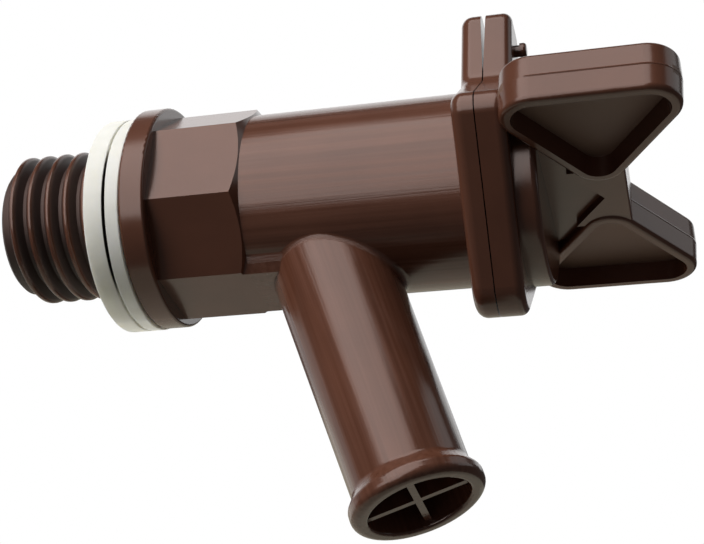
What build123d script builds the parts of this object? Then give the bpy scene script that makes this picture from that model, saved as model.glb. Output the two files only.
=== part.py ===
from build123d import *
import math
import os

# Barrel tap. X runs along the barrel from the container towards the handle, Z is up, and the origin is on
# the barrel's axis in the plane of the flange's back face. All sizes are in millimetres.

# Threaded stub
stub_length = 24.9
stub_bore_radius = 8.5
thread_radius = 13.2
thread_depth = 1.8
thread_pitch = 3.3
thread_crest_width = 0.5
thread_base_width = 3.1
thread_crest_round = 0.2
thread_start = 1.85
thread_sink = 0.3
stub_tip_chamfer = 0.5

# Flange, octagon and barrel
flange_radius = 19.3
flange_thickness = 4.4
flange_round = 0.5
octagon_sides = 8
octagon_flats = 33.3
octagon_length = 15.5
octagon_chamfer_angle = 55.0
barrel_radius = 16.4
barrel_length = 56.5
chamber_radius = 13.4
chamber_back = 10.5

# Spout
spout_place = 27.5
spout_lean = 20.4
spout_root_radius = 10.5
spout_neck_radius = 9.5
spout_root_round = 1.0
spout_bore_radius = 8.2
spout_length = 60.0
lip_radius = 10.8
lip_height = 4.3
lip_flare = 1.9
lip_neck_round = 1.5
lip_back_round = 0.9
lip_front_round = 1.4
lip_mouth_round = 0.5
cross_depth = 9.0
cross_recess = 1.2
cross_long_rib = 1.1
cross_wide_rib = 1.1
root_pad_half_width = 6.4
root_pad_overlap = 4.0

# Plates at the front of the barrel, one fixed and one turning, with a lug each
fixed_plate_thickness = 3.75
turning_plate_thickness = 4.55
plate_gap = 0.2
plate_half_width = 18.7
plate_turn = 45.0
plate_tip_radius = 6.5
plate_side_radius = 3.0
fixed_plate_round = 1.9
turning_plate_round = 1.5
lug_near_side = 16.2
lug_width = 9.2
lug_height = 25.1
lug_top_radius = 2.4
lug_root_radius = 4.0
lug_notch_radius = 1.2
lug_splay = 0.35
lug_splay_start = 13.5
peg_radius = 1.3
peg_neck_radius = 1.0
peg_neck_length = 0.9
peg_length = 2.0
peg_round = 0.5
peg_below_top = 5.9

# Hub and handle
hub_radius = 17.0
hub_length = 3.7
hub_round = 1.0
handle_half_span = 29.3
handle_thickness = 8.75
handle_centre_beyond_hub = 9.2
handle_lobe_angle = 34.0
handle_lobe_vertex = 1.4
handle_corner_radius = 5.5
handle_apex_radius = 4.8
handle_edge_round = 0.9
handle_draft = 3.0
recess_rim = 1.9
recess_depth = 3.7
recess_draft = 4.0
web_thickness = 5.4
web_half_width = 15.0
neck_half_width = 8.0
neck_thickness = 7.9
neck_front_beyond_centre = 3.95
neck_round = 0.5

# Plug inside the barrel
plug_clearance = 0.3
plug_bore_radius = 9.0
plug_front_wall = 7.0
plug_end_gap = 0.6
port_radius = 8.0
bead_rise = 0.8
bead_width = 1.8
bead_clearance = 0.4
bead_setback = 2.8

# Seals and gaskets
seal_section_radius = 0.9
seal_groove_margin = 0.2
seal_seat_clearance = 0.03
seal_running_gap = 0.12
rear_seal_setback = 4.5
front_seal_setback = 4.5
pad_radius = 9.6
pad_thickness = 1.7
pad_seat_clearance = 0.05
gasket_radius = 18.7
gasket_hole_radius = 14.15
gasket_sag = 0.9
gasket_round = 0.2
inner_gasket_thickness = 2.4
outer_gasket_thickness = 3.4
flange_gap = 0.1
gasket_gap = 0.35

# How far a shape that cuts or trims another reaches beyond it
cut_margin = 1.0

# Places along the barrel, worked out from the sizes above
fixed_plate_back = barrel_length
fixed_plate_front = fixed_plate_back + fixed_plate_thickness
turning_plate_back = fixed_plate_front + plate_gap
turning_plate_front = turning_plate_back + turning_plate_thickness
hub_front = turning_plate_front + hub_length
handle_centre = hub_front + handle_centre_beyond_hub
plug_radius = chamber_radius - plug_clearance
plug_back = chamber_back + plug_end_gap
plug_bore_front = turning_plate_back - plug_front_wall
bead_front = fixed_plate_back - bead_setback + bead_width
bead_back = bead_front - bead_width
bead_radius = plug_radius + bead_rise
rear_seal_place = plug_back + rear_seal_setback
front_seal_place = bead_back - front_seal_setback
seal_ring_radius = chamber_radius - seal_running_gap - seal_section_radius
seal_groove_bottom = seal_ring_radius - seal_section_radius - seal_seat_clearance
seal_groove_width = 2 * (seal_section_radius + seal_groove_margin)
pad_outer_radius = chamber_radius - seal_running_gap
pad_inner_radius = pad_outer_radius - pad_thickness
lug_far_side = lug_near_side - lug_width
peg_place = (-(lug_near_side + lug_far_side) / 2, lug_height - peg_below_top)
neck_front = handle_centre + neck_front_beyond_centre
spout_wall = spout_neck_radius - spout_bore_radius
lip_start = spout_length - lip_height
inner_gasket_back = -flange_gap - inner_gasket_thickness
outer_gasket_back = inner_gasket_back - gasket_gap - outer_gasket_thickness

# Planes that look down the spout when the tap is open, and down the port when it is closed
spout_way = Vector(math.sin(math.radians(spout_lean)), 0, -math.cos(math.radians(spout_lean)))
port_way = Vector(spout_way.X, spout_way.Z, 0)
spout_plane = Plane(origin=(spout_place, 0, 0), x_dir=(0, 1, 0), z_dir=spout_way)
spout_section = Plane(origin=(spout_place, 0, 0), x_dir=(0, 1, 0), z_dir=Vector(0, 1, 0).cross(spout_way))
spout_axis = Axis((spout_place, 0, 0), spout_way)
spout_mouth = spout_plane.offset(spout_length).origin
port_plane = Plane(origin=(spout_place, 0, 0), x_dir=(0, 0, 1), z_dir=port_way)


def across(place):
    """The plane across the barrel at a place along it."""
    return Plane.YZ.offset(place)


# Outline shared by the fixed and the turning plate: a square on its corner with a lug on its upper near side
lug_centre = (-(lug_near_side + lug_far_side) / 2, lug_height / 2)
plate_tip = plate_half_width / math.cos(math.radians(plate_turn))
lug_near_root = (-lug_near_side, plate_tip - lug_near_side)
lug_far_root = (-lug_far_side, plate_tip - lug_far_side)
with BuildSketch(Plane.XY) as plate_outline:
    Rectangle(2 * plate_half_width, 2 * plate_half_width, rotation=plate_turn)
    side_corners = plate_outline.vertices().group_by(Axis.Y)[1]
    fillet(side_corners, plate_side_radius)
    tip_corners = plate_outline.vertices().sort_by(Axis.Y)
    fillet([tip_corners[0], tip_corners[-1]], plate_tip_radius)
    with Locations(lug_centre):
        Rectangle(lug_width, lug_height)
    lug_tops = plate_outline.vertices().group_by(Axis.Y)[-1]
    fillet(lug_tops, lug_top_radius)
    near_roots = plate_outline.vertices().sort_by_distance((lug_near_root[0], lug_near_root[1], 0))
    fillet(near_roots[0], lug_root_radius)
    far_roots = plate_outline.vertices().sort_by_distance((lug_far_root[0], lug_far_root[1], 0))
    fillet(far_roots[0], lug_notch_radius)

# Octagon behind the barrel, with its front corners turned down to the barrel
octagon_front = flange_thickness + octagon_length
octagon_half_turn = 180 / octagon_sides
octagon_reach = octagon_flats / 2 / math.cos(math.radians(octagon_half_turn))
trim_radius = octagon_reach + cut_margin
trim_run = (trim_radius - barrel_radius) / math.tan(math.radians(octagon_chamfer_angle))
with BuildPart() as octagon:
    with BuildSketch(across(flange_thickness / 2)):
        RegularPolygon(octagon_flats / 2, octagon_sides, major_radius=False, rotation=octagon_half_turn)
    extrude(amount=octagon_front - flange_thickness / 2)
    with BuildSketch(Plane.XZ):
        with BuildLine():
            Polyline(
                (0, 0),
                (0, trim_radius),
                (octagon_front - trim_run, trim_radius),
                (octagon_front, barrel_radius),
                (octagon_front, 0),
                close=True,
            )
        make_face()
    revolve(axis=Axis.X, mode=Mode.INTERSECT)

# Threaded stub: a core with a coarse rounded ridge wound round it, both running into the flange
thread_root_radius = thread_radius - thread_depth
stub_front = flange_thickness / 2
with BuildPart() as stub:
    with BuildSketch(across(-stub_length)):
        Circle(thread_root_radius)
    extrude(amount=stub_length + stub_front)
    stub_tip = stub.edges().sort_by(Axis.X)[0]
    chamfer(stub_tip, stub_tip_chamfer)
    with BuildLine() as thread_path:
        Helix(
            thread_pitch,
            stub_length - thread_start + stub_front,
            thread_root_radius,
            center=(-stub_length + thread_start, 0, 0),
            direction=(1, 0, 0),
        )
    with BuildSketch(Plane(origin=thread_path.line @ 0, x_dir=(1, 0, 0), z_dir=thread_path.line % 0)) as ridge:
        with BuildLine():
            Polyline(
                (-thread_base_width / 2, -thread_sink),
                (-thread_crest_width / 2, thread_depth),
                (thread_crest_width / 2, thread_depth),
                (thread_base_width / 2, -thread_sink),
                close=True,
            )
        make_face()
        fillet(ridge.vertices().group_by(Axis.Y)[-1], thread_crest_round)
    sweep(is_frenet=True)

# Fixed plate, moulded on the front of the barrel; its lug leans away from the turning one
lug_lean_rise = lug_height - lug_splay_start
lug_splay_top = lug_height + cut_margin
lug_splay_reach = lug_splay * (lug_splay_top - lug_splay_start) / lug_lean_rise


def lug_wedge(plate_face, away):
    """The wedge cut from a lug's inner face, so that it leans away from the other lug towards its top."""
    with BuildPart() as wedge:
        with BuildSketch(Plane.XZ.offset(lug_far_side - cut_margin)):
            with BuildLine():
                Polyline(
                    (plate_face, lug_splay_start),
                    (plate_face, lug_splay_top),
                    (plate_face + away * lug_splay_reach, lug_splay_top),
                    close=True,
                )
            make_face()
        extrude(amount=lug_width + 2 * cut_margin)
    return wedge.part


fixed_wedge = lug_wedge(fixed_plate_front, -1)
turning_wedge = lug_wedge(turning_plate_back, 1)

with BuildPart() as fixed_plate:
    with BuildSketch(across(fixed_plate_back)):
        add(plate_outline.sketch)
    extrude(amount=fixed_plate_thickness)
    back_face = fixed_plate.faces().sort_by(Axis.X)[0]
    fillet(back_face.outer_wire().edges(), fixed_plate_round)
    add(fixed_wedge, mode=Mode.SUBTRACT)

with BuildPart() as body:
    # Flange and barrel are one turned form
    with BuildSketch(Plane.XZ) as turned:
        with BuildLine():
            Polyline(
                (0, 0),
                (0, flange_radius),
                (flange_thickness, flange_radius),
                (flange_thickness, barrel_radius),
                (fixed_plate_front, barrel_radius),
                (fixed_plate_front, 0),
                close=True,
            )
        make_face()
        flange_corners = turned.vertices().group_by(Axis.Y)[-1]
        fillet(flange_corners, flange_round)
    revolve(axis=Axis.X)
    # Spout, drawn in a little towards its rounded lip
    with BuildSketch(spout_section) as spout_profile:
        with BuildLine():
            Polyline(
                (0, 0),
                (spout_root_radius, 0),
                (spout_neck_radius, lip_start),
                (lip_radius, lip_start + lip_flare),
                (lip_radius, spout_length),
                (0, spout_length),
                close=True,
            )
        make_face()
        for corner, corner_round in (
            ((spout_neck_radius, lip_start, 0), lip_neck_round),
            ((lip_radius, lip_start + lip_flare, 0), lip_back_round),
            ((lip_radius, spout_length, 0), lip_front_round),
        ):
            fillet(spout_profile.vertices().sort_by_distance(corner)[0], corner_round)
    revolve(axis=spout_axis)
    root_edge = body.edges().filter_by(GeomType.BSPLINE)
    fillet(root_edge, spout_root_round)
    add(octagon.part)
    add(stub.part)
    add(fixed_plate.part)
    # Pad under the barrel, where the octagon's lowest flat runs on to the spout
    with BuildSketch(Plane.XY.offset(-octagon_flats / 2)):
        with Locations(((octagon_front - root_pad_overlap + spout_place) / 2, 0)):
            Rectangle(spout_place - octagon_front + root_pad_overlap, 2 * root_pad_half_width)
    extrude(amount=octagon_flats / 2)
    # Waterway: the stub's bore, the plug's chamber with the groove for its bead, and the spout's bore
    with BuildSketch(across(-stub_length)):
        Circle(stub_bore_radius)
    extrude(amount=stub_length + chamber_back, mode=Mode.SUBTRACT)
    with BuildSketch(across(chamber_back)):
        Circle(chamber_radius)
    extrude(amount=fixed_plate_front - chamber_back, mode=Mode.SUBTRACT)
    with BuildSketch(across(bead_back - bead_clearance)):
        Circle(bead_radius + bead_clearance)
    extrude(amount=bead_width + 2 * bead_clearance, mode=Mode.SUBTRACT)
    with BuildSketch(spout_plane):
        Circle(spout_bore_radius)
    extrude(amount=spout_length, mode=Mode.SUBTRACT)
    mouth_edges = body.edges().filter_by(GeomType.CIRCLE).sort_by_distance(spout_mouth)
    fillet(mouth_edges[0], lip_mouth_round)
    # Cross of two ribs a little inside the spout's mouth
    with BuildSketch(spout_plane.offset(spout_length - cross_recess)):
        Rectangle(2 * spout_bore_radius + spout_wall, cross_wide_rib)
        Rectangle(cross_long_rib, 2 * spout_bore_radius + spout_wall)
    extrude(amount=-cross_depth)
body.part.label = "body"

# Bow-tie handle: one lobe, a rounded triangle that points at the barrel's axis
lobe_half_width = (handle_half_span - handle_lobe_vertex) * math.tan(math.radians(handle_lobe_angle))
with BuildSketch(Plane.XY) as lobe_outline:
    with BuildLine():
        Polyline(
            (handle_centre, -handle_lobe_vertex),
            (handle_centre - lobe_half_width, -handle_half_span),
            (handle_centre + lobe_half_width, -handle_half_span),
            close=True,
        )
    make_face()
    fillet(lobe_outline.vertices().sort_by(Axis.Y)[-1], handle_apex_radius)
    fillet(lobe_outline.vertices().group_by(Axis.Y)[0], handle_corner_radius)
with BuildSketch(Plane.XY) as recess_outline:
    add(lobe_outline.sketch)
    offset(amount=-recess_rim, mode=Mode.REPLACE)
with BuildPart() as lobe:
    with BuildSketch(Plane.XY):
        add(lobe_outline.sketch)
    extrude(amount=handle_thickness / 2, both=True, taper=handle_draft)
    lobe_faces = lobe.faces().sort_by(Axis.Z)
    fillet(lobe_faces[0].edges() + lobe_faces[-1].edges(), handle_edge_round)

# Neck between the lobes, cut back on the hub's side along the lines of their slanting sides
neck_side_run = neck_half_width * math.tan(math.radians(handle_lobe_angle))
with BuildPart() as neck:
    with BuildSketch(Plane.XY):
        with BuildLine():
            Polyline(
                (handle_centre, 0),
                (handle_centre - neck_side_run, -neck_half_width),
                (neck_front, -neck_half_width),
                (neck_front, neck_half_width),
                (handle_centre - neck_side_run, neck_half_width),
                close=True,
            )
        make_face()
    extrude(amount=neck_thickness / 2, both=True)
    fillet(neck.faces().sort_by(Axis.X)[-1].edges(), neck_round)

# Turning plate, with its lug leaning away from the fixed one
with BuildPart() as turning_plate:
    with BuildSketch(across(turning_plate_back)):
        add(plate_outline.sketch)
    extrude(amount=turning_plate_thickness)
    front_face = turning_plate.faces().sort_by(Axis.X)[-1]
    fillet(front_face.outer_wire().edges(), turning_plate_round)
    add(turning_wedge, mode=Mode.SUBTRACT)

# Button-headed peg on the turning lug
with BuildPart() as peg:
    with BuildSketch(across(turning_plate_front)):
        with Locations(peg_place):
            Circle(peg_neck_radius)
    extrude(amount=peg_neck_length)
    with BuildSketch(across(turning_plate_front + peg_neck_length)):
        with Locations(peg_place):
            Circle(peg_radius)
    extrude(amount=peg_length - peg_neck_length)
    fillet(peg.edges().sort_by(Axis.X)[-1], peg_round)

# Pocket in the plug's side for the shut-off pad
with BuildPart() as pad_pocket:
    with BuildSketch(spout_plane):
        Circle(pad_radius + pad_seat_clearance)
    extrude(amount=plug_radius + pad_radius)
    with BuildSketch(across(plug_back)):
        Circle(pad_inner_radius - pad_seat_clearance)
    extrude(amount=turning_plate_back - plug_back, mode=Mode.SUBTRACT)

with BuildPart() as key:
    # Plug with its snap bead
    with BuildSketch(across(plug_back)):
        Circle(plug_radius)
    extrude(amount=turning_plate_back - plug_back)
    with BuildSketch(Plane.XZ) as bead:
        with BuildLine():
            Polyline(
                (bead_back, 0),
                (bead_back, plug_radius),
                (bead_back + bead_width / 2, bead_radius),
                (bead_front, bead_radius),
                (bead_front, 0),
                close=True,
            )
        make_face()
    revolve(axis=Axis.X)
    # Turning plate with its peg, and hub
    add(turning_plate.part)
    add(peg.part)
    with BuildSketch(across(turning_plate_front)):
        Circle(hub_radius)
    extrude(amount=hub_length)
    hub_face = key.faces().sort_by(Axis.X)[-1]
    fillet(hub_face.outer_wire().edges(), hub_round)
    # Handle lobes, joined by the neck, and to the hub by a thinner web
    add(lobe.part)
    mirror(lobe.part, about=Plane.XZ)
    add(neck.part)
    with BuildSketch(Plane.XY):
        with BuildLine():
            Polyline(
                (hub_front - hub_round, -web_half_width),
                (handle_centre, -neck_half_width),
                (handle_centre, neck_half_width),
                (hub_front - hub_round, web_half_width),
                close=True,
            )
        make_face()
    extrude(amount=web_thickness / 2, both=True)
    for face_level, inwards in ((-handle_thickness / 2, 1), (handle_thickness / 2, -1)):
        with BuildSketch(Plane.XY.offset(face_level)):
            add(recess_outline.sketch)
            mirror(recess_outline.sketch, about=Plane.XZ)
        extrude(amount=inwards * recess_depth, taper=recess_draft, mode=Mode.SUBTRACT)
    # Hollow plug, its side port, the grooves for its seals and the pocket for the shut-off pad
    with BuildSketch(across(plug_back)):
        Circle(plug_bore_radius)
    extrude(amount=plug_bore_front - plug_back, mode=Mode.SUBTRACT)
    with BuildSketch(port_plane):
        Circle(port_radius)
    extrude(amount=plug_radius + port_radius, mode=Mode.SUBTRACT)
    for place in (rear_seal_place, front_seal_place):
        with BuildSketch(across(place - seal_groove_width / 2)):
            Circle(plug_radius + plug_clearance)
            Circle(seal_groove_bottom, mode=Mode.SUBTRACT)
        extrude(amount=seal_groove_width, mode=Mode.SUBTRACT)
    add(pad_pocket.part, mode=Mode.SUBTRACT)
key.part.label = "key"

# O-rings round the plug
with BuildPart() as rear_seal:
    with BuildSketch(Plane.XZ):
        with Locations((rear_seal_place, seal_ring_radius)):
            Circle(seal_section_radius)
    revolve(axis=Axis.X)
rear_seal.part.label = "rear_seal"

with BuildPart() as front_seal:
    with BuildSketch(Plane.XZ):
        with Locations((front_seal_place, seal_ring_radius)):
            Circle(seal_section_radius)
    revolve(axis=Axis.X)
front_seal.part.label = "front_seal"

# Shut-off pad, curved like the plug's side
with BuildPart() as port_pad:
    with BuildSketch(spout_plane):
        Circle(pad_radius)
    extrude(amount=plug_radius + pad_radius)
    with BuildSketch(across(plug_back)):
        Circle(pad_outer_radius)
        Circle(pad_inner_radius, mode=Mode.SUBTRACT)
    extrude(amount=turning_plate_back - plug_back, mode=Mode.INTERSECT)
port_pad.part.label = "port_pad"

# Gaskets, a loose fit on the thread, so they hang a little low
with BuildPart() as inner_gasket:
    with BuildSketch(across(inner_gasket_back)):
        with Locations((0, -gasket_sag)):
            Circle(gasket_radius)
            Circle(gasket_hole_radius, mode=Mode.SUBTRACT)
    extrude(amount=inner_gasket_thickness)
    fillet(inner_gasket.edges().filter_by(GeomType.CIRCLE), gasket_round)
inner_gasket.part.label = "inner_gasket"

with BuildPart() as outer_gasket:
    with BuildSketch(across(outer_gasket_back)):
        with Locations((0, -gasket_sag)):
            Circle(gasket_radius)
            Circle(gasket_hole_radius, mode=Mode.SUBTRACT)
    extrude(amount=outer_gasket_thickness)
    fillet(outer_gasket.edges().filter_by(GeomType.CIRCLE), gasket_round)
outer_gasket.part.label = "outer_gasket"

os.makedirs("parts", exist_ok=True)
export_step(body.part, "parts/body.step")
export_step(key.part, "parts/key.step")
export_step(rear_seal.part, "parts/rear_seal.step")
export_step(front_seal.part, "parts/front_seal.step")
export_step(port_pad.part, "parts/port_pad.step")
export_step(inner_gasket.part, "parts/inner_gasket.step")
export_step(outer_gasket.part, "parts/outer_gasket.step")
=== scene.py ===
import math

import bmesh
import bpy
from mathutils import Matrix, Vector


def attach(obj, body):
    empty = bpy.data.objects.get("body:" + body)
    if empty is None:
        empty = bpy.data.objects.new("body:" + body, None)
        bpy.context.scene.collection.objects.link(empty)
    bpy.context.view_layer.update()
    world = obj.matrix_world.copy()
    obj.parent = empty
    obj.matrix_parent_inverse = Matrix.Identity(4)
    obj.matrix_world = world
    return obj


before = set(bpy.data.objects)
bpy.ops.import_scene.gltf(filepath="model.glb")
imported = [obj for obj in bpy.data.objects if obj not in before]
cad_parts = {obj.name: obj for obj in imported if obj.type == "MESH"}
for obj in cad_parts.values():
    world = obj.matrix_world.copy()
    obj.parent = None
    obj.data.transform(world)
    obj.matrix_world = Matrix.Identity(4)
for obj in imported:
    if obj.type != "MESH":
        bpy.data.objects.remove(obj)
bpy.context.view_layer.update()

MM = 0.001

# Camera: the tap is seen from a little below its barrel, with the spout leaning towards the viewer
CAMERA_PLACE = Vector((91.65, -205.57, -137.87)) * MM
CAMERA_AIM = Vector((35.75, 0, -14.01)) * MM
CAMERA_ROLL = math.radians(3.06)
CAMERA_FOCAL_LENGTH = 75.6
CAMERA_SENSOR_WIDTH = 36.0
CAMERA_NEAREST = 0.01

# Sizes of the tap that the finishes follow
BARREL_RADIUS = 16.4 * MM
BARREL_START = 19.9 * MM
BARREL_END = 56.5 * MM
SPOUT_LEAN = math.radians(20.4)
FLANGE_BACK = 0.0
THREAD_CREST = 13.2 * MM
HUB_FRONT = 68.7 * MM
LOBE_CENTRE = 77.9 * MM
LOBE_VERTEX = 1.4 * MM
LOBE_ANGLE = math.radians(34)
LOBE_RIM = 1.9 * MM
HANDLE_HALF_SPAN = 29.3 * MM
RECESS_FLOOR = 0.675 * MM
RECESS_FLOOR_MARGIN = 0.05 * MM
GASKET_JOINT = -2.675 * MM
GASKET_RADIUS = 18.7 * MM

# The slopes beside the spout's root: their ends along the barrel, and corners out from the middle and up
PAD_START = 15.9 * MM
PAD_END = 27.5 * MM
PAD_CORNER = (6.4 * MM, -16.65 * MM)
PAD_CHEEK_TOP = (8.6 * MM, -13.8 * MM)
PAD_CHEEK_INSIDE = (5.0 * MM, -14.5 * MM)

# Brown ABS: its fine grain is drawn coarser than a real spark-eroded one, as coarse as it needs to show
ABS_IOR = 1.53
ABS_ROUGHNESS = 0.22
CLOUD_SIZE = 12 * MM
CLOUD_RANGE = (0.35, 0.65)
GRAIN_SIZE = 0.3 * MM
GRAIN_DEPTH = 0.02 * MM
GRAIN_STRENGTH = 0.3
RECESS_ROUGHNESS = 0.6
PARTING_LINE_WIDTH = 0.36 * MM
PARTING_LINE_RISE = 0.1 * MM
# The thread's valleys: duller, and darkened towards the root with painted shade
THREAD_VALLEY_START = 0.2 * MM
THREAD_VALLEY_FULL = 0.7 * MM
THREAD_VALLEY_ROUGHNESS = 0.55

# Drag lines: they turn to follow the spout between two distances outside the barrel
STREAK_WIDTH = 0.8 * MM
STREAK_LENGTH = 60 * MM
STREAK_DEPTH = 0.07 * MM
STREAK_STRENGTH = 0.5
STREAK_EVEN = 0.5
STREAK_RANGE = (0.34, 0.66)
STREAK_ROUGHNESS = (0.05, 0.34)
STREAK_COLOUR_SHARE = 0.16
SPOUT_LINES_START = 0.1 * MM
SPOUT_LINES_FULL = 0.6 * MM

# Rubber: the gaskets part in a thin crescent, darkened with painted shade, whose middle lies at an angle
# below the side facing the viewer
RUBBER_GRAIN_SIZE = 0.35 * MM
RUBBER_GRAIN_STRENGTH = 0.3
GASKET_IOR = 1.45
GASKET_ROUGHNESS = (0.5, 0.7)
GASKET_MOTTLE_SIZE = 3.5 * MM
GASKET_MOTTLE_RANGE = (0.3, 0.7)
GASKET_GRAIN_DEPTH = 0.03 * MM
GASKET_GLOW_SHARE = 0.3
GASKET_GLOW_SPREAD = (1.0, 0.95, 0.8)
GASKET_GLOW_DEPTH = 2.5 * MM
GASKET_PART_WIDTH = 0.32 * MM
GASKET_PART_MIDDLE = math.radians(29)
GASKET_PART_REACH = math.radians(60)
GASKET_PART_EDGE = (-0.02 * MM, 0.06 * MM)
SEAL_IOR = 1.5
SEAL_ROUGHNESS = 0.5
SEAL_GRAIN_DEPTH = 0.02 * MM

# Colours
ABS_BROWN = "#5F3A2B"
ABS_BROWN_DARK = "#583527"
STREAK_PALE = "#81594A"
STREAK_DARK = "#3F251B"
# Painted shade in the thread's valleys
THREAD_VALLEY_PAINTED_SHADE = "#33201A"
# Painted light on the floors of the lobes' recesses
RECESS_PAINTED_LIGHT_BROWN = "#64493B"
GASKET_WHITE = "#F6F5ED"
GASKET_SHADE = "#EFEEE4"
# Painted shade over the gap where the gaskets part
GASKET_GAP_PAINTED_SHADE = "#1E1713"
SEAL_BLACK = "#151414"
SEAL_GREY = "#211F1F"
FLOOR_PALE = "#F2F1EF"
PANEL_TINT = "#FFF0EA"
BOUNCE_TINT = "#FFFBE2"
WHITE = "#FFFFFF"

# Studio: a light's rise above the line to the viewer and its turn to the side in degrees, its sizes in metres
KEY = dict(rise=68, turn=-38, distance=1.0, width=0.6, height=0.6, watts=11.8)
PANEL = dict(rise=52, turn=-25, distance=0.55, width=0.52, height=1.1, watts=5.0)
BACKDROP = dict(rise=160, turn=6, distance=0.5, width=0.7, height=0.45, watts=1.1)
LEFT_CARD = dict(rise=184, turn=-50, distance=0.5, width=0.4, height=0.55, watts=0.4)
SIDE_CARD = dict(rise=105, turn=62, distance=0.55, width=0.4, height=0.4, watts=0.36)
BOUNCE = dict(rise=-114, turn=-8, distance=0.45, width=1.0, height=1.2, watts=1.6)
UNDER = dict(rise=-124, turn=-19, distance=0.6, width=0.5, height=0.5, watts=3.6)
FLOOR_LEVEL = -0.26
FLOOR_SIZE = 12.0
FLOOR_ROUGHNESS = 0.8
FLOOR_WASH = 2.9
FLOOR_WASH_SPREAD = math.radians(12)
ROOM_STRENGTH = 0.07
BACKGROUND_STRENGTH = 1.0


def linear(hex_colour):
    """The linear colour of an sRGB hex value."""
    channels = [int(hex_colour[i:i + 2], 16) / 255 for i in (1, 3, 5)]
    return tuple(c / 12.92 if c <= 0.04045 else ((c + 0.055) / 1.055) ** 2.4 for c in channels) + (1.0,)


def add_node(tree, kind, inputs=None, **settings):
    """Adds a node with its settings; each input is a value, or another node's output to link."""
    made = tree.nodes.new(kind)
    for name, value in settings.items():
        setattr(made, name, value)
    for name, value in (inputs or {}).items():
        if isinstance(value, bpy.types.NodeSocket):
            tree.links.new(value, made.inputs[name])
        else:
            made.inputs[name].default_value = value
    return made


def new_material(name):
    """An empty material, its node tree and its output node."""
    material = bpy.data.materials.new(name)
    material.use_nodes = True
    material.node_tree.nodes.clear()
    output = add_node(material.node_tree, "ShaderNodeOutputMaterial")
    return material, material.node_tree, output


def moulded_brown_abs(name):
    """Injection-moulded brown ABS: a little cloudy, with a fine spark-eroded grain that makes it satin.
    The tree, place, colour, grain and shader come with it, for what only one moulding has."""
    material, tree, output = new_material(name)
    place = add_node(tree, "ShaderNodeTexCoord").outputs["Object"]
    cloud = add_node(tree, "ShaderNodeTexNoise", {
        "Vector": place, "Scale": 1 / CLOUD_SIZE, "Detail": 3.0})
    grain = add_node(tree, "ShaderNodeTexNoise", {
        "Vector": place, "Scale": 1 / GRAIN_SIZE, "Detail": 1.0})
    shade = add_node(tree, "ShaderNodeMapRange", {
        "Value": cloud.outputs["Fac"], "From Min": CLOUD_RANGE[0], "From Max": CLOUD_RANGE[1]})
    colour = add_node(tree, "ShaderNodeMix", {
        "Factor": shade.outputs["Result"],
        "A": linear(ABS_BROWN_DARK),
        "B": linear(ABS_BROWN)}, data_type="RGBA")
    grain_bump = add_node(tree, "ShaderNodeBump", {
        "Height": grain.outputs["Fac"], "Strength": GRAIN_STRENGTH, "Distance": GRAIN_DEPTH})
    plastic = add_node(tree, "ShaderNodeBsdfPrincipled", {
        "Base Color": colour.outputs["Result"],
        "Roughness": ABS_ROUGHNESS,
        "IOR": ABS_IOR,
        "Normal": grain_bump.outputs["Normal"]})
    tree.links.new(plastic.outputs["BSDF"], output.inputs["Surface"])
    return material, tree, place, colour.outputs["Result"], grain_bump, plastic


def body_abs():
    """The body's ABS, with drag lines where the steel cores were drawn out along the barrel and the
    spout, which break the soft highlights there into fine streaks, and dull valleys in the thread,
    darkened towards the root with painted shade."""
    material, tree, place, colour, grain_bump, plastic = moulded_brown_abs("brown_abs_body")
    along, reach = barrel_position(tree, place)
    streak = drag_lines(tree, place, along, reach)
    valley = thread_valleys(tree, along, reach)
    streaked_gloss = add_node(tree, "ShaderNodeMapRange", {
        "Value": streak, "To Min": STREAK_ROUGHNESS[0], "To Max": STREAK_ROUGHNESS[1]})
    roughness = add_node(tree, "ShaderNodeMix", {
        "Factor": valley, "A": streaked_gloss.outputs["Result"], "B": THREAD_VALLEY_ROUGHNESS})
    rubbed = add_node(tree, "ShaderNodeMapRange", {
        "Value": streak, "From Min": STREAK_RANGE[0], "From Max": STREAK_RANGE[1]})
    streak_colour = add_node(tree, "ShaderNodeMix", {
        "Factor": rubbed.outputs["Result"],
        "A": linear(STREAK_DARK),
        "B": linear(STREAK_PALE)}, data_type="RGBA")
    streaked = add_node(tree, "ShaderNodeMix", {
        "Factor": STREAK_COLOUR_SHARE,
        "A": colour,
        "B": streak_colour.outputs["Result"]}, data_type="RGBA")
    # Painted shade: the thread's valleys darken towards the root
    valley_shaded = add_node(tree, "ShaderNodeMix", {
        "Factor": valley,
        "A": streaked.outputs["Result"],
        "B": linear(THREAD_VALLEY_PAINTED_SHADE)}, data_type="RGBA")
    drag_bump = add_node(tree, "ShaderNodeBump", {
        "Height": streak, "Strength": STREAK_STRENGTH, "Distance": STREAK_DEPTH})
    tree.links.new(roughness.outputs["Result"], plastic.inputs["Roughness"])
    tree.links.new(valley_shaded.outputs["Result"], plastic.inputs["Base Color"])
    tree.links.new(drag_bump.outputs["Normal"], grain_bump.inputs["Normal"])
    return material


def barrel_position(tree, place):
    """How far along the barrel's axis a point lies, and how far from it."""
    parts = add_node(tree, "ShaderNodeSeparateXYZ", {"Vector": place})
    across = add_node(tree, "ShaderNodeCombineXYZ", {"Y": parts.outputs["Y"], "Z": parts.outputs["Z"]})
    reach = add_node(tree, "ShaderNodeVectorMath", {0: across.outputs["Vector"]}, operation="LENGTH")
    return parts.outputs["X"], reach.outputs["Value"]


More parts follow.
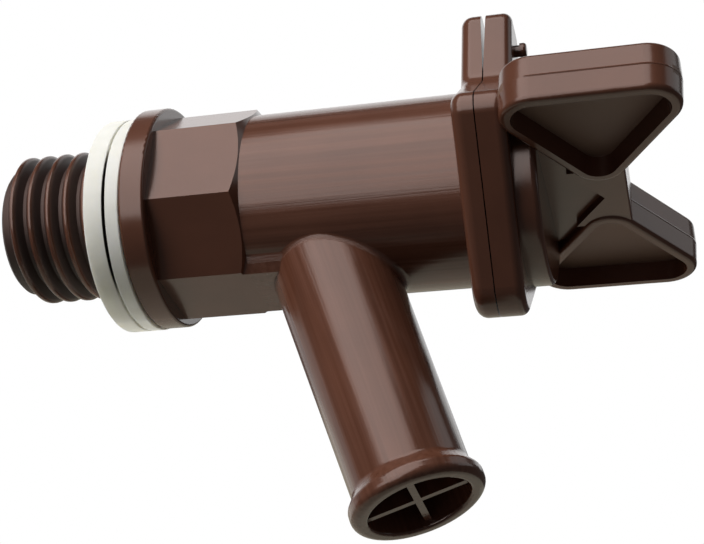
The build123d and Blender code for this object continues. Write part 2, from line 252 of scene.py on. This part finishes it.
def drag_lines(tree, place, along, reach):
    """Fine lines along the barrel and, outside its radius, along the spout; even on the rest of the body."""
    along_barrel = add_node(tree, "ShaderNodeMapping", {
        "Vector": place, "Scale": (STREAK_LENGTH, STREAK_WIDTH, STREAK_WIDTH)}, vector_type="TEXTURE")
    along_spout = add_node(tree, "ShaderNodeMapping", {
        "Vector": place,
        "Rotation": (0, -SPOUT_LEAN, 0),
        "Scale": (STREAK_WIDTH, STREAK_WIDTH, STREAK_LENGTH)}, vector_type="TEXTURE")
    outside = add_node(tree, "ShaderNodeMapRange", {
        "Value": reach,
        "From Min": BARREL_RADIUS + SPOUT_LINES_START,
        "From Max": BARREL_RADIUS + SPOUT_LINES_FULL})
    route = add_node(tree, "ShaderNodeMix", {
        "Factor": outside.outputs["Result"],
        "A": along_barrel.outputs["Vector"],
        "B": along_spout.outputs["Vector"]}, data_type="VECTOR")
    lines = add_node(tree, "ShaderNodeTexNoise", {
        "Vector": route.outputs["Result"], "Scale": 1.0, "Detail": 4.0})
    drawn = add_node(tree, "ShaderNodeMath", {
        0: along,
        1: (BARREL_START + BARREL_END) / 2,
        2: (BARREL_END - BARREL_START) / 2}, operation="COMPARE")
    streak = add_node(tree, "ShaderNodeMix", {
        "Factor": drawn.outputs["Value"], "A": STREAK_EVEN, "B": lines.outputs["Fac"]})
    return streak.outputs["Result"]


def thread_valleys(tree, along, reach):
    """How deep below the crests the stub's surface lies: 0 on the crests and 1 in the thread's valleys,
    which it darkens with painted shade and makes duller.
    """
    depth = add_node(tree, "ShaderNodeMapRange", {
        "Value": reach,
        "From Min": THREAD_CREST - THREAD_VALLEY_FULL,
        "From Max": THREAD_CREST - THREAD_VALLEY_START,
        "To Min": 1.0,
        "To Max": 0.0})
    on_stub = add_node(tree, "ShaderNodeMath", {0: along, 1: FLANGE_BACK}, operation="LESS_THAN")
    valley = add_node(tree, "ShaderNodeMath", {
        0: depth.outputs["Result"], 1: on_stub.outputs["Value"]}, operation="MULTIPLY")
    return valley.outputs["Value"]


def key_abs():
    """The key's ABS, with the fine raised line round the handle's middle where the halves of the mould
    met, and dull floors in the lobes' recesses, painted paler and greyer as painted light so that
    they look evenly lit."""
    material, tree, place, colour, grain_bump, plastic = moulded_brown_abs("brown_abs_key")
    parts = add_node(tree, "ShaderNodeSeparateXYZ", {"Vector": place})
    off_middle = add_node(tree, "ShaderNodeMath", {0: parts.outputs["Z"]}, operation="ABSOLUTE")
    ridge = add_node(tree, "ShaderNodeMapRange", {
        "Value": off_middle.outputs["Value"],
        "From Max": PARTING_LINE_WIDTH / 2,
        "To Min": 1.0,
        "To Max": 0.0})
    on_handle = add_node(tree, "ShaderNodeMath", {
        0: parts.outputs["X"], 1: HUB_FRONT}, operation="GREATER_THAN")
    line = add_node(tree, "ShaderNodeMath", {
        0: ridge.outputs["Result"], 1: on_handle.outputs["Value"]}, operation="MULTIPLY")
    line_bump = add_node(tree, "ShaderNodeBump", {
        "Height": line.outputs["Value"], "Strength": 1.0, "Distance": PARTING_LINE_RISE})
    recess = recess_floors(tree, parts, off_middle.outputs["Value"])
    roughness = add_node(tree, "ShaderNodeMix", {
        "Factor": recess, "A": ABS_ROUGHNESS, "B": RECESS_ROUGHNESS})
    # Painted light: the recess floors are painted paler and greyer, as if evenly lit
    recess_lit = add_node(tree, "ShaderNodeMix", {
        "Factor": recess, "A": colour, "B": linear(RECESS_PAINTED_LIGHT_BROWN)}, data_type="RGBA")
    tree.links.new(roughness.outputs["Result"], plastic.inputs["Roughness"])
    tree.links.new(recess_lit.outputs["Result"], plastic.inputs["Base Color"])
    tree.links.new(line_bump.outputs["Normal"], grain_bump.inputs["Normal"])
    return material


def recess_floors(tree, parts, off_middle):
    """1 on the floors of the lobes' recesses, which lie within the rim of each triangle, and 0 elsewhere."""
    off_axis = add_node(tree, "ShaderNodeMath", {0: parts.outputs["Y"]}, operation="ABSOLUTE")
    from_centre = add_node(tree, "ShaderNodeMath", {
        0: parts.outputs["X"], 1: LOBE_CENTRE}, operation="SUBTRACT")
    beside = add_node(tree, "ShaderNodeMath", {0: from_centre.outputs["Value"]}, operation="ABSOLUTE")
    half_width = add_node(tree, "ShaderNodeMath", {
        0: off_axis.outputs["Value"],
        1: math.tan(LOBE_ANGLE),
        2: -LOBE_VERTEX * math.tan(LOBE_ANGLE) - LOBE_RIM / math.cos(LOBE_ANGLE)}, operation="MULTIPLY_ADD")
    in_sides = add_node(tree, "ShaderNodeMath", {
        0: beside.outputs["Value"], 1: half_width.outputs["Value"]}, operation="LESS_THAN")
    in_end = add_node(tree, "ShaderNodeMath", {
        0: off_axis.outputs["Value"], 1: HANDLE_HALF_SPAN - LOBE_RIM}, operation="LESS_THAN")
    in_triangle = add_node(tree, "ShaderNodeMath", {
        0: in_sides.outputs["Value"], 1: in_end.outputs["Value"]}, operation="MULTIPLY")
    on_level = add_node(tree, "ShaderNodeMath", {
        0: off_middle, 1: RECESS_FLOOR + RECESS_FLOOR_MARGIN}, operation="LESS_THAN")
    recess = add_node(tree, "ShaderNodeMath", {
        0: in_triangle.outputs["Value"], 1: on_level.outputs["Value"]}, operation="MULTIPLY")
    return recess.outputs["Value"]


def pale_gasket_rubber():
    """Pressed off-white rubber: matt and a little milky, uneven in tone, with a fine talc-like grain, and
    darkened with painted shade in the gap where the two gaskets part on one side."""
    material, tree, output = new_material("pale_gasket_rubber")
    place = add_node(tree, "ShaderNodeTexCoord").outputs["Object"]
    mottle = add_node(tree, "ShaderNodeTexNoise", {
        "Vector": place, "Scale": 1 / GASKET_MOTTLE_SIZE, "Detail": 3.0})
    grain = add_node(tree, "ShaderNodeTexNoise", {
        "Vector": place, "Scale": 1 / RUBBER_GRAIN_SIZE, "Detail": 2.0})
    shade = add_node(tree, "ShaderNodeMapRange", {
        "Value": mottle.outputs["Fac"],
        "From Min": GASKET_MOTTLE_RANGE[0],
        "From Max": GASKET_MOTTLE_RANGE[1]})
    colour = add_node(tree, "ShaderNodeMix", {
        "Factor": shade.outputs["Result"],
        "A": linear(GASKET_SHADE),
        "B": linear(GASKET_WHITE)}, data_type="RGBA")
    # Painted shade over the gap where the gaskets part
    parted = add_node(tree, "ShaderNodeMix", {
        "Factor": parted_gap(tree, place),
        "A": colour.outputs["Result"],
        "B": linear(GASKET_GAP_PAINTED_SHADE)}, data_type="RGBA")
    roughness = add_node(tree, "ShaderNodeMapRange", {
        "Value": grain.outputs["Fac"], "To Min": GASKET_ROUGHNESS[0], "To Max": GASKET_ROUGHNESS[1]})
    bump = add_node(tree, "ShaderNodeBump", {
        "Height": grain.outputs["Fac"], "Strength": RUBBER_GRAIN_STRENGTH, "Distance": GASKET_GRAIN_DEPTH})
    rubber = add_node(tree, "ShaderNodeBsdfPrincipled", {
        "Base Color": parted.outputs["Result"],
        "Roughness": roughness.outputs["Result"],
        "IOR": GASKET_IOR,
        "Subsurface Weight": GASKET_GLOW_SHARE,
        "Subsurface Radius": GASKET_GLOW_SPREAD,
        "Subsurface Scale": GASKET_GLOW_DEPTH,
        "Normal": bump.outputs["Normal"]})
    tree.links.new(rubber.outputs["BSDF"], output.inputs["Surface"])
    return material


def parted_gap(tree, place):
    """1 in a thin crescent of painted shade over the gap between the gaskets, widest on the side where they
    part, else 0.
    """
    towards = (0, -math.cos(GASKET_PART_MIDDLE), -math.sin(GASKET_PART_MIDDLE))
    round_rim = add_node(tree, "ShaderNodeVectorMath", {0: place, 1: towards}, operation="DOT_PRODUCT")
    half_width = add_node(tree, "ShaderNodeMapRange", {
        "Value": round_rim.outputs["Value"],
        "From Min": GASKET_RADIUS * math.cos(GASKET_PART_REACH),
        "From Max": GASKET_RADIUS,
        "To Max": GASKET_PART_WIDTH})
    parts = add_node(tree, "ShaderNodeSeparateXYZ", {"Vector": place})
    offset = add_node(tree, "ShaderNodeMath", {
        0: parts.outputs["X"], 1: GASKET_JOINT}, operation="SUBTRACT")
    distance = add_node(tree, "ShaderNodeMath", {0: offset.outputs["Value"]}, operation="ABSOLUTE")
    inside = add_node(tree, "ShaderNodeMath", {
        0: half_width.outputs["Result"], 1: distance.outputs["Value"]}, operation="SUBTRACT")
    crescent = add_node(tree, "ShaderNodeMapRange", {
        "Value": inside.outputs["Value"],
        "From Min": GASKET_PART_EDGE[0],
        "From Max": GASKET_PART_EDGE[1]})
    return crescent.outputs["Result"]


def black_seal_rubber():
    """Moulded black nitrile rubber: dark and dull, with a fine grain."""
    material, tree, output = new_material("black_seal_rubber")
    place = add_node(tree, "ShaderNodeTexCoord").outputs["Object"]
    grain = add_node(tree, "ShaderNodeTexNoise", {
        "Vector": place, "Scale": 1 / RUBBER_GRAIN_SIZE, "Detail": 2.0})
    colour = add_node(tree, "ShaderNodeMix", {
        "Factor": grain.outputs["Fac"],
        "A": linear(SEAL_BLACK),
        "B": linear(SEAL_GREY)}, data_type="RGBA")
    bump = add_node(tree, "ShaderNodeBump", {
        "Height": grain.outputs["Fac"], "Strength": RUBBER_GRAIN_STRENGTH, "Distance": SEAL_GRAIN_DEPTH})
    rubber = add_node(tree, "ShaderNodeBsdfPrincipled", {
        "Base Color": colour.outputs["Result"],
        "Roughness": SEAL_ROUGHNESS,
        "IOR": SEAL_IOR,
        "Normal": bump.outputs["Normal"]})
    tree.links.new(rubber.outputs["BSDF"], output.inputs["Surface"])
    return material


def finish_node(name, material):
    """Gives a CAD node its finish."""
    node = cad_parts[name]
    node.data.materials.clear()
    node.data.materials.append(material)


def root_cheek(name, side, material):
    """The slope beside the spout's root that leads from the barrel down to the corner of the pad under it."""
    profile = [PAD_CORNER, PAD_CHEEK_TOP, PAD_CHEEK_INSIDE]
    shape = bmesh.new()
    corners = [shape.verts.new((PAD_START, side * out, height)) for out, height in profile]
    end = shape.faces.new(corners)
    drawn = bmesh.ops.extrude_face_region(shape, geom=[end])
    far_corners = [part for part in drawn["geom"] if isinstance(part, bmesh.types.BMVert)]
    bmesh.ops.translate(shape, vec=(PAD_END - PAD_START, 0, 0), verts=far_corners)
    bmesh.ops.recalc_face_normals(shape, faces=shape.faces)
    mesh = bpy.data.meshes.new(name)
    shape.to_mesh(mesh)
    shape.free()
    mesh.materials.append(material)
    cheek = bpy.data.objects.new(name, mesh)
    bpy.context.scene.collection.objects.link(cheek)
    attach(cheek, "tap_body")


gasket_rubber = pale_gasket_rubber()
seal_rubber = black_seal_rubber()
body_plastic = body_abs()
finish_node("body", body_plastic)
root_cheek("root_cheek_near", -1, body_plastic)
root_cheek("root_cheek_far", 1, body_plastic)
finish_node("key", key_abs())
for gasket in ("outer_gasket", "inner_gasket"):
    finish_node(gasket, gasket_rubber)
for seal in ("rear_seal", "front_seal", "port_pad"):
    finish_node(seal, seal_rubber)


def view_axes():
    """The camera's right, up and backward directions."""
    backward = (CAMERA_PLACE - CAMERA_AIM).normalized()
    level_right = Vector((0, 0, 1)).cross(backward).normalized()
    level_up = backward.cross(level_right)
    right = level_right * math.cos(CAMERA_ROLL) + level_up * math.sin(CAMERA_ROLL)
    return right, backward.cross(right), backward


def turned_to(right, up, backward, place):
    """The matrix of an object at a place with the given axes."""
    axes = Matrix((right, up, backward)).transposed().to_4x4()
    return Matrix.Translation(place) @ axes


view_right, view_up, view_back = view_axes()

camera_lens = bpy.data.cameras.new("camera")
camera_lens.lens = CAMERA_FOCAL_LENGTH
camera_lens.sensor_width = CAMERA_SENSOR_WIDTH
camera_lens.clip_start = CAMERA_NEAREST
camera = bpy.data.objects.new("camera", camera_lens)
camera.matrix_world = turned_to(view_right, view_up, view_back, CAMERA_PLACE)
bpy.context.scene.collection.objects.link(camera)
bpy.context.scene.camera = camera


def soft_light(name, rise, turn, distance, width, height, watts):
    """A softbox that faces the tap, raised above the viewer and turned to the side by the given angles."""
    rise_angle = math.radians(rise)
    turn_angle = math.radians(turn)
    towards = view_back * math.cos(rise_angle) + view_up * math.sin(rise_angle)
    towards = (towards * math.cos(turn_angle) + view_right * math.sin(turn_angle)).normalized()
    lamp = bpy.data.lights.new(name, "AREA")
    lamp.shape = "RECTANGLE"
    lamp.size = width
    lamp.size_y = height
    lamp.energy = watts
    side = view_up.cross(towards).normalized()
    made = bpy.data.objects.new(name, lamp)
    made.matrix_world = turned_to(side, towards.cross(side), towards, CAMERA_AIM + towards * distance)
    made.visible_camera = False
    bpy.context.scene.collection.objects.link(made)
    return made


# A softbox and a fill from below shade the tap, a tall panel, the backdrop and a card are seen in it as
# reflections, and a card at the side and the bounce from below do both
key = soft_light("key_softbox", **KEY)
panel = soft_light("reflected_panel", **PANEL)
backdrop = soft_light("reflected_backdrop", **BACKDROP)
left_card = soft_light("reflected_card", **LEFT_CARD)
side_card = soft_light("side_card", **SIDE_CARD)
bounce = soft_light("floor_bounce", **BOUNCE)
under = soft_light("under_fill", **UNDER)
panel.data.color = linear(PANEL_TINT)[:3]
bounce.data.color = linear(BOUNCE_TINT)[:3]
for shading in (key, under):
    shading.visible_glossy = False
for reflected in (panel, backdrop, left_card):
    reflected.visible_diffuse = False

# Pale floor, well below the tap, which is held by its thread; only the camera sees it
floor_shape = bmesh.new()
bmesh.ops.create_grid(floor_shape, x_segments=1, y_segments=1, size=FLOOR_SIZE / 2)
bmesh.ops.translate(floor_shape, vec=(0, 0, FLOOR_LEVEL), verts=floor_shape.verts)
floor_mesh = bpy.data.meshes.new("floor")
floor_shape.to_mesh(floor_mesh)
floor_shape.free()
floor = bpy.data.objects.new("floor", floor_mesh)
bpy.context.scene.collection.objects.link(floor)
floor_material, floor_tree, floor_output = new_material("pale_floor")
floor_paint = add_node(floor_tree, "ShaderNodeBsdfPrincipled", {
    "Base Color": linear(FLOOR_PALE), "Roughness": FLOOR_ROUGHNESS})
floor_tree.links.new(floor_paint.outputs["BSDF"], floor_output.inputs["Surface"])
floor_mesh.materials.append(floor_material)
floor.visible_diffuse = False
floor.visible_glossy = False

# An even light that falls on the floor alone, with the tap's shadow; the studio's lamps leave the floor out
floor_only = bpy.data.collections.new("floor_only")
floor_only.objects.link(floor)
floor_wash = bpy.data.objects.new("floor_wash", bpy.data.lights.new("floor_wash", "SUN"))
floor_wash.data.energy = FLOOR_WASH
floor_wash.data.angle = FLOOR_WASH_SPREAD
floor_wash.light_linking.receiver_collection = floor_only
bpy.context.scene.collection.objects.link(floor_wash)
all_but_floor = bpy.data.collections.new("all_but_floor")
all_but_floor.objects.link(floor)
all_but_floor.collection_objects[0].light_linking.link_state = "EXCLUDE"
for studio_lamp in (key, panel, backdrop, left_card, side_card, bounce, under):
    studio_lamp.light_linking.receiver_collection = all_but_floor

# White surroundings for the camera, and a dim room for the tap
world = bpy.data.worlds.new("studio")
world.use_nodes = True
world.node_tree.nodes.clear()
seen = add_node(world.node_tree, "ShaderNodeLightPath").outputs["Is Camera Ray"]
room = add_node(world.node_tree, "ShaderNodeBackground", {
    "Color": linear(WHITE), "Strength": ROOM_STRENGTH})
background = add_node(world.node_tree, "ShaderNodeBackground", {
    "Color": linear(WHITE), "Strength": BACKGROUND_STRENGTH})
surroundings = add_node(world.node_tree, "ShaderNodeMixShader", {
    "Fac": seen, 1: room.outputs["Background"], 2: background.outputs["Background"]})
add_node(world.node_tree, "ShaderNodeOutputWorld", {"Surface": surroundings.outputs["Shader"]})
bpy.context.scene.world = world

bpy.context.scene.view_settings.view_transform = "Standard"
